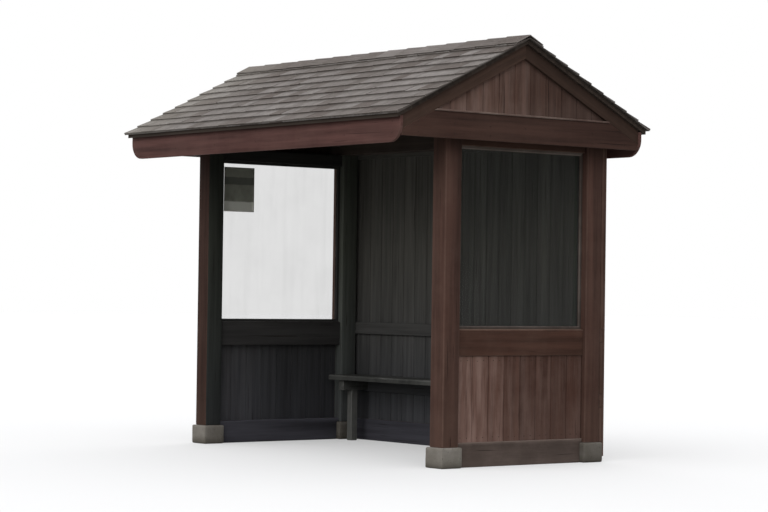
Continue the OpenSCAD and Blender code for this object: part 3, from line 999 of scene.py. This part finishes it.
# %% Build the bench
BENCH = wood("bench_stain", rgb(57, 57, 55), rgb(96, 96, 93), wear=0.6)
SEAT_BOARD = 0.145
SEAT_ROUND = 0.012
LEG = 0.060
seat_low, seat_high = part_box("bench_seat")
planks = []
for i, y in enumerate((seat_low.y, seat_high.y - SEAT_BOARD)):
    plank = block("seat_plank", (seat_low.x, y, seat_low.z), (seat_high.x, y + SEAT_BOARD, seat_high.z))
    if i == 0:
        top_z = seat_low.z + 0.02
        bevel(plank, SEAT_ROUND, 5, lambda m, line: abs(line.x) > 0.9 and m.y < y + 0.01 and m.z > top_z)
    bevel(plank, 0.0025, 1, lambda m, line: abs(line.x) < 0.5 or m.y > y + 0.1, clamp=True)
    planks.append(mark_grain(plank, "X", chance, 0.5 + 0.1 * i))
hand_over(joined("bench_planks", planks), BENCH, "bench_stain", "bench_seat")

low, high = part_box("bench_legs")
legs = []
for x in (low.x, (low.x + high.x - LEG) / 2, high.x - LEG):
    legs.append(timber("leg", (x, low.y, low.z), (x + LEG, high.y, high.z), "Z", chance, 0.004))
hand_over(joined("bench_leg_timbers", legs), BENCH, "bench_stain", "bench_legs")
print("bench built")

# %% [markdown]
# Small beads hold each pane on both faces. They are mitred: each of the four is sawn at 45
# degrees at both ends, and its outer edge is rounded, which is what catches the light.

# %% Mitre the glazing beads
# The inner beads take the rails' painted indoor shade.
BEAD = wood("bead_stain", rgb(72, 63, 58), rgb(114, 104, 98), wear=0.6, splash=0, inner=RAIL_INDOOR_SHADE)
BEAD_FACE = 0.020
BEAD_ROUND = 0.007


def mitred_beads(name, low, high, facing):
    """Four beads round an opening, facing +X for 1 or -X for -1."""
    outer = high.x if facing > 0 else low.x
    spots = (
        ("Y", (low.y, high.y), (low.z, low.z + BEAD_FACE)),
        ("Y", (low.y, high.y), (high.z - BEAD_FACE, high.z)),
        ("Z", (low.y, low.y + BEAD_FACE), (low.z, high.z)),
        ("Z", (high.y - BEAD_FACE, high.y), (low.z, high.z)),
    )
    middle_y, middle_z = (low.y + high.y) / 2, (low.z + high.z) / 2
    beads = []
    for along, (y0, y1), (z0, z1) in spots:
        bead = block(name, (low.x, y0, z0), (high.x, y1, z1))
        side_y = y1 if (y0 + y1) / 2 < middle_y else y0
        side_z = z1 if (z0 + z1) / 2 < middle_z else z0

        def faces_the_pane(m, line):
            lies_along = abs(getattr(line, along.lower())) > 0.9
            off = m.z - side_z if along == "Y" else m.y - side_y
            return lies_along and abs(m.x - outer) < 0.001 and abs(off) < 0.001

        bevel(bead, BEAD_ROUND, 3, faces_the_pane)
        for y, ty in ((low.y, 1), (high.y, -1)):
            for z, tz in ((low.z, 1), (high.z, -1)):
                if y0 <= y <= y1 and z0 <= z <= z1:
                    saw(bead, (0, y, z), (0, -ty, tz) if along == "Y" else (0, ty, -tz))
        beads.append(mark_grain(bead, along, chance))
    return beads


for side, sign in ENDS:
    low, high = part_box(f"{side}_beads")
    glass_low, glass_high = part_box(f"{side}_pane")
    beads = mitred_beads("bead", Vector((glass_high.x, low.y, low.z)), high, 1)
    beads += mitred_beads("bead", low, Vector((glass_low.x, high.y, high.z)), -1)
    middle_x = abs(glass_low.x + glass_high.x) / 2
    beads = mark_inside(joined(f"{side}_window_beads", beads), lambda c, n: c.x * sign < middle_x)
    hand_over(beads, BEAD, "bead_stain", f"{side}_beads")
print("windows beaded")

# %% [markdown]
# The panes are clear sheet glass, a little dusty. Their plain sheets are right as they are
# and only get a finish. Alpha gives a thin sheet the right look: most light goes straight
# through, and the rest shows the tint, the dust and the gloss.

# %% Glaze the windows
def pane_finish():
    f = Finish("pane")
    place = f.place()
    dust = f.band(f.noise(place, 4, 3, 0.5), 0.42, 0.72)
    runs = f.band(f.drawn(place, (18, 18, 1.2), 2, 0.5), 0.5, 0.8)
    film = (0.5 * dust + 0.5 * runs).held()
    color = f.blend(film, rgb(24, 29, 26), rgb(46, 48, 44))
    return f.close(color, 0.05 + 0.2 * film, gloss=0.15, Alpha=0.14 + 0.04 * film)


PANE = pane_finish()
for side in ("left", "right"):
    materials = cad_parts[f"{side}_pane"].data.materials
    materials.clear()
    materials.append(PANE)
print("windows glazed")

# %% [markdown]
# A plain notice panel hangs inside the left window. Its front face is inset and pushed in,
# which leaves a raised rim, and its sheet carries only soft, blank bands of muted paper.

# %% Hang the notice panel
RIM = 0.014
RIM_DEPTH = 0.004


def notice_finish():
    f = Finish("notice")
    place = f.place()
    level = f.part(place, "Z") + 0.010 * f.noise(place, 14, 2)
    pale = 1 - f.band(level, 1.876, 1.884)
    dark = f.band(level, 2.008, 2.016) * (1 - f.band(level, 2.066, 2.074))
    fade = f.noise(place, 11, 4, 0.6)
    color = f.blend(f.band(fade, 0.3, 0.7), rgb(140, 141, 130), rgb(168, 169, 156))
    color = f.blend(dark * 0.7, color, rgb(92, 94, 90))
    color = f.blend(pale * 0.95, color, rgb(240, 240, 230))
    return f.close(color, 0.55 + 0.2 * fade, f.noise(place, 40, 3), 0.15, 0.001)


low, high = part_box("notice_panel")
panel = block("notice_board", low, high)
pick_faces(panel, lambda c, n: n.x > 0.9)
bpy.ops.mesh.inset(thickness=RIM, depth=0)
bpy.ops.mesh.extrude_region_move(TRANSFORM_OT_translate={"value": (-RIM_DEPTH, 0, 0)})
bevel(panel, 0.0012, 2, lambda m, line: m.x > high.x - 0.001)
hand_over(panel, notice_finish(), "notice", "notice_panel")
print("notice panel hung")

# %% [markdown]
# The rest of the frame is half hidden, and its plain shapes are right already. Each solid of
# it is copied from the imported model: its split corners are merged, its flat faces made whole
# and its edges softened. The lowest stiles behind the back corners are made a little longer,
# so that they stand on the pads. Rafters are laid level for a moment, so that their grain
# runs along the slope.

# %% Dress the rest of the frame
FRAME_ARRIS = 0.003
ALONG = {
    "front_plate": "X",
    "back_plate": "X",
    "ridge_board": "X",
    "gable_sills": "Y",
    "bench_bearers": "Y",
}


def solids_of(node):
    """Copies of the solids of a plain piece, each with whole, flat faces."""
    piece = bpy.data.objects.new(node + "_solid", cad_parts[node].data.copy())
    bpy.context.scene.collection.objects.link(piece)
    pick_faces(piece, everything)
    bpy.ops.mesh.remove_doubles(threshold=0.00001)
    bpy.ops.mesh.dissolve_limited(angle_limit=math.radians(1))
    bpy.ops.mesh.separate(type="LOOSE")
    bpy.ops.object.mode_set(mode="OBJECT")
    return sorted(bpy.context.selected_objects, key=lambda solid: tuple(solid.bound_box[0]))


for node, along in ALONG.items():
    solids = [mark_grain(soften(solid, FRAME_ARRIS), along, chance) for solid in solids_of(node)]
    finish = BENCH if node == "bench_bearers" else DARK
    hand_over(joined(node + "_timbers", solids), finish, "dark_stain", node)

pad_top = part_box("back_right_pad")[1].z
kicker_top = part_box("back_kicker")[1].z
rails = []
for solid in solids_of("back_rails"):
    pick_faces(solid, lambda c, n: n.z < -0.9 and c.z < kicker_top + 0.001)
    shift_picked(0, 0, pad_top - kicker_top)
    along = "Z" if solid.dimensions.z > solid.dimensions.x else "X"
    rails.append(mark_grain(soften(solid, FRAME_ARRIS), along, chance, 0.45))
rails = joined("back_rail_timbers", rails)
mark_inside(rails, lambda c, n: abs(n.x) < 0.5 and abs(c.x) < WALL_X)
hand_over(rails, BACK_BOARDS, "dark_stain", "back_rails")

for name, way in SLOPES:
    rafters = []
    for solid in solids_of(f"{name}_rafters"):
        soften(solid, FRAME_ARRIS)
        turned_about(solid, (0, 0, ridge_z), way * SLOPE, "X")
        mark_grain(solid, "Y", chance)
        rafters.append(turned_about(solid, (0, 0, ridge_z), -way * SLOPE, "X"))
    hand_over(joined(f"{name}_rafter_timbers", rafters), DARK, "dark_stain", f"{name}_rafters")
print("frame dressed")

# %% [markdown]
# Nail heads mark where boards meet the frame behind them. One flat head is a short cylinder
# whose top is inset and lifted a little, and it is later copied to each spot. Old nails
# rust, so they are nearly as dark as the wood and hardly shine.

# %% Model a nail head
NAIL = 0.0035
NAIL_DEPTH, NAIL_SINK = 0.003, 0.0007


def nail_model():
    """A head that faces up and stands barely proud of the level Z = 0."""
    bpy.ops.object.select_all(action="DESELECT")
    bpy.ops.mesh.primitive_cylinder_add(
        vertices=8, radius=NAIL, depth=NAIL_DEPTH, location=(0, 0, -NAIL_SINK)
    )
    nail = place_in_mesh(bpy.context.object)
    pick_faces(nail, lambda c, n: n.z > 0.9)
    bpy.ops.mesh.inset(thickness=0.0008)
    shift_picked(0, 0, 0.0003)
    return nail


def nail_finish():
    f = Finish("nail_heads")
    rust = f.noise(f.place(), 180, 3, 0.6)
    color = f.blend(rust, rgb(36, 30, 27), rgb(74, 60, 52))
    return f.close(color, 0.65 + 0.3 * rust, rust, 0.3, 0.001, gloss=0.05)


NAIL_HEAD = nail_model()
NAIL_FINISH = nail_finish()
print("a nail head has", len(NAIL_HEAD.data.polygons), "faces")

# %% [markdown]
# A carpenter drives two nails through each board at every rail behind it, and pairs of them
# along the trim, and each nail misses its line by a little. The nails of one wall or trim
# board are joined into one piece, because they share a finish and are found by one name.

# %% Drive the nails
TOP = {node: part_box(node)[1].z for node in ("left_mid_rail", "back_boards")}
BACK_ROWS = (seat_low.z - 0.047, TOP["left_mid_rail"] - 0.047, TOP["back_boards"] - 0.045)
TRIM_PAIRS = 7
FASCIA_END, GABLE_END = 0.085, 0.134


def nails(name, slot, spots, facing):
    """Nail heads at these spots, all facing one way."""
    turn = Vector((0, 0, 1)).rotation_difference(Vector(facing)).to_matrix().to_4x4()
    heads = []
    for spot in spots:
        head = copy_of(NAIL_HEAD, name)
        head.matrix_world = Matrix.Translation(spot) @ turn
        heads.append(head)
    place_in_mesh(*heads)
    hand_over(joined(name, heads), NAIL_FINISH, slot)


def between(first, last, count):
    """That many places, evenly spread from first to last."""
    return [first + k * (last - first) / (count - 1) for k in range(count)]


def board_places(low, high, shares):
    """Places across each board of a wall, as shares of the board's width."""
    count = round((high - low) / WALL_BOARD)
    return [low + (i + share) * (high - low) / count for i in range(count) for share in shares]


def unevenly(z, error):
    return z + chance.uniform(-error, error)


low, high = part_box("back_boards")
xs = board_places(low.x, high.x, (0.25, 0.75))
spots = [(x, high.y + 0.0004, unevenly(z, 0.006)) for x in xs for z in BACK_ROWS]
nails("back_wall_nails", "dark_stain", spots, (0, 1, 0))
for name, way in SLOPES:
    low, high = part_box(f"{name}_fascia")
    face = low.y if way < 0 else high.y
    xs = between(low.x + FASCIA_END, high.x - FASCIA_END, TRIM_PAIRS)
    spots = [(x, face, unevenly(z, 0.004)) for x in xs for z in (low.z + 0.065, high.z - 0.035)]
    nails(f"{name}_fascia_nails", "trim_stain", spots, (0, way, 0))
for side, sign in ENDS:
    low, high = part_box(f"{side}_gable_base")
    face = outer_x(f"{side}_gable_base", sign)
    ys = between(low.y + GABLE_END, high.y - GABLE_END, TRIM_PAIRS)
    spots = [(face, y, unevenly(z, 0.004)) for y in ys for z in (low.z + 0.03, low.z + 0.10)]
    nails(f"{side}_gable_nails", "trim_stain", spots, (sign, 0, 0))
    low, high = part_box(f"{side}_panel")
    face = outer_x(f"{side}_panel", sign)
    ys = board_places(low.y, high.y, (0.3, 0.7))
    spots = [(face, y, unevenly(z, 0.003)) for y in ys for z in (low.z + 0.031, high.z - 0.032)]
    nails(f"{side}_panel_nails", "board_stain", spots, (sign, 0, 0))
bpy.data.objects.remove(NAIL_HEAD)
print("nails driven")

# %% [markdown]
# The camera stands where the photograph was taken: low, well to the right of the front and
# far off. Only its lens is longer, so that the shelter fills the frame.

# %% Place the camera
EYE = Vector((13.691, -10.655, 1.186))
AIM = Vector((0.03, 0.05, 1.452))
ROLL = 0.014
forward = (AIM - EYE).normalized()
right = forward.cross(Vector((0, 0, 1))).normalized()
up = right.cross(forward)
tilted_right = math.cos(ROLL) * right + math.sin(ROLL) * up
tilted_up = math.cos(ROLL) * up - math.sin(ROLL) * right
view = Matrix((tilted_right, tilted_up, -forward)).transposed().to_4x4()
lens = bpy.data.cameras.new("camera")
lens.lens = 110
lens.sensor_width = 36
camera = bpy.data.objects.new("camera", lens)
camera.matrix_world = Matrix.Translation(EYE) @ view
bpy.context.scene.collection.objects.link(camera)
bpy.context.scene.camera = camera
print("camera stands", round((AIM - EYE).length, 1), "m away")

# %% [markdown]
# The day is overcast, so the light is wide and soft. The world gives a sky that is bright
# overhead and dim near the ground, one soft lamp stands for the open sky in front, and two
# weaker ones fill the right-hand end and the back. Camera, glossy and transmission rays see
# plain white instead of the sky.

# %% Light the scene
WHITE_RAYS = ("Is Camera Ray", "Is Glossy Ray", "Is Transmission Ray")


def white_to_the_eye(f):
    """1 for rays that should see the white surroundings."""
    path = f.add("ShaderNodeLightPath").output.node
    camera_ray, glossy_ray, clear_ray = (Socket(f, path.outputs[name]) for name in WHITE_RAYS)
    return (camera_ray + glossy_ray + clear_ray).held()


def bright_sky(name, towards, strength, spread):
    """A wide, soft patch of brighter sky in one direction."""
    light = bpy.data.lights.new(name, "SUN")
    light.energy = strength
    light.angle = math.radians(spread)
    patch = bpy.data.objects.new(name, light)
    patch.matrix_world = Vector(towards).to_track_quat("Z", "Y").to_matrix().to_4x4()
    bpy.context.scene.collection.objects.link(patch)


world = bpy.data.worlds.new("overcast")
bpy.context.scene.world = world
world.use_nodes = True
sky = Finish("sky", world.node_tree)
height = sky.part(sky.add("ShaderNodeTexCoord"), "Z")
level = 0.22 + 0.75 * height.held()
grey = sky.add("ShaderNodeCombineXYZ", None, {0: level, 1: level * 1.01, 2: level * 1.04})
color = sky.blend(white_to_the_eye(sky), grey, (1, 1, 1, 1))
sky.add("ShaderNodeOutputWorld", None, {0: sky.add("ShaderNodeBackground", None, {0: color})})
bright_sky("sky_in_front", (0.25, -0.70, 0.67), 2.0, 80)
bright_sky("sky_at_the_end", (0.92, -0.10, 0.38), 0.45, 80)
bright_sky("sky_behind", (-0.60, 0.68, 0.42), 1.6, 80)

# %% [markdown]
# The floor is pale to the eye and keeps a soft shadow: a grey matt surface and a glow
# together look white where nothing shades them. To other rays it is a mid grey, so it
# doesn't throw more light up under the roof than real ground would.

# %% Lay the floor
bpy.ops.object.select_all(action="DESELECT")
bpy.ops.mesh.primitive_plane_add(size=160, location=(0, 0, -0.0005))
floor = bpy.context.object
floor.name = "floor"
place_in_mesh(floor)
f = Finish("floor")
matt = f.add("ShaderNodeBsdfDiffuse", None, {"Color": (0.46, 0.46, 0.46, 1)})
glow = f.add("ShaderNodeEmission", None, {"Color": (1, 1, 1, 1), "Strength": 0.36})
pale = f.add("ShaderNodeAddShader", None, {0: matt, 1: glow})
ground = f.add("ShaderNodeBsdfDiffuse", None, {"Color": (0.22, 0.22, 0.21, 1)})
seen = f.add("ShaderNodeMixShader", None, {0: white_to_the_eye(f), 1: ground, 2: pale})
f.add("ShaderNodeOutputMaterial", None, {0: seen})
floor.data.materials.append(f.material)

# %% [markdown]
# The view transform is Standard, so a colour shows as it was written. A finished piece
# may not make the shelter bigger than its solids.

# %% Finish
bpy.context.scene.view_settings.view_transform = "Standard"
